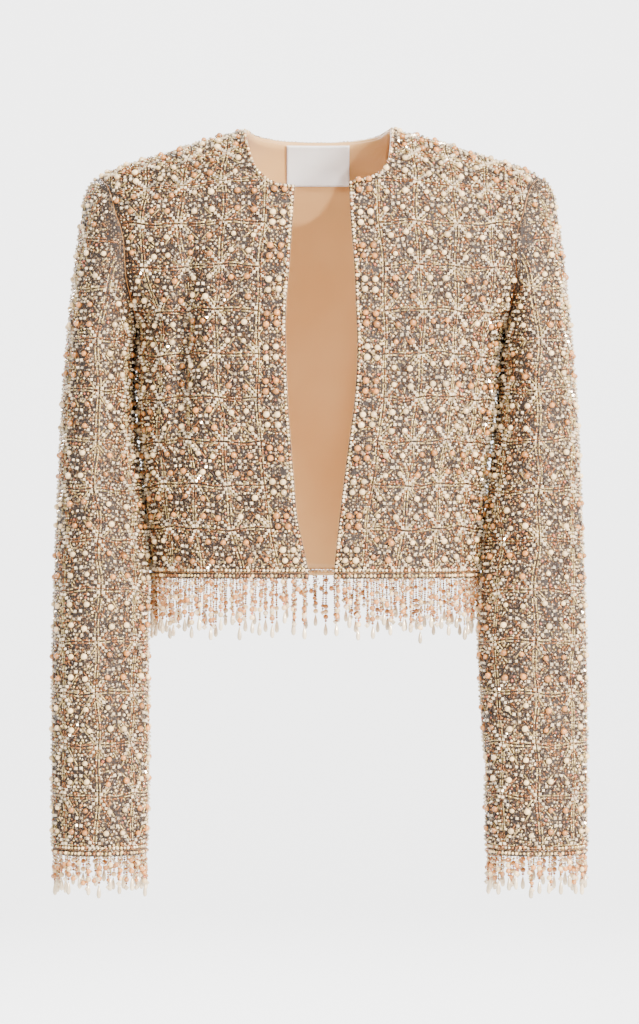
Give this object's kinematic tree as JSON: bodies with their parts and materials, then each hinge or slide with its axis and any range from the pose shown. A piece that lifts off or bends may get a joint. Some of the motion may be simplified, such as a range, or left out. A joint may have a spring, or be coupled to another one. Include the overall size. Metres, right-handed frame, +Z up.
{
  "type": "cropped jacket",
  "caption": "Collarless cropped evening jacket, worn open, with long sleeves, allover trellis beadwork and bead fringe at hem and cuffs.",
  "frame": {"origin": "midway between the two shoulder seams, at the height of their middles, where the wearer's shoulders carry the jacket", "axes": "+Z up along the body, -Y towards the front, +X towards the wearer's left arm"},
  "size_m": [0.457, 0.1947, 0.6612],
  "materials": {
    "beaded_cloth": "tan cloth covered with cream and peach beads, gold bugles and clear crystals",
    "lining": "plain tan satin lining with a soft sheen",
    "label": "blank off-white woven label, matt",
    "bead_fringe": "strands of peach and cream beads that end in clear drops"
  },
  "bodies": {
    "root": {"front_right": "beaded_cloth", "front_left": "beaded_cloth", "back": "beaded_cloth", "sleeve_right": "beaded_cloth", "sleeve_left": "beaded_cloth", "back_lining": "lining", "label": "label", "hem_fringe_front_right": "bead_fringe", "hem_fringe_front_left": "bead_fringe", "hem_fringe_back": "bead_fringe", "cuff_fringe_right": "bead_fringe", "cuff_fringe_left": "bead_fringe"}
  },
  "joints": []
}
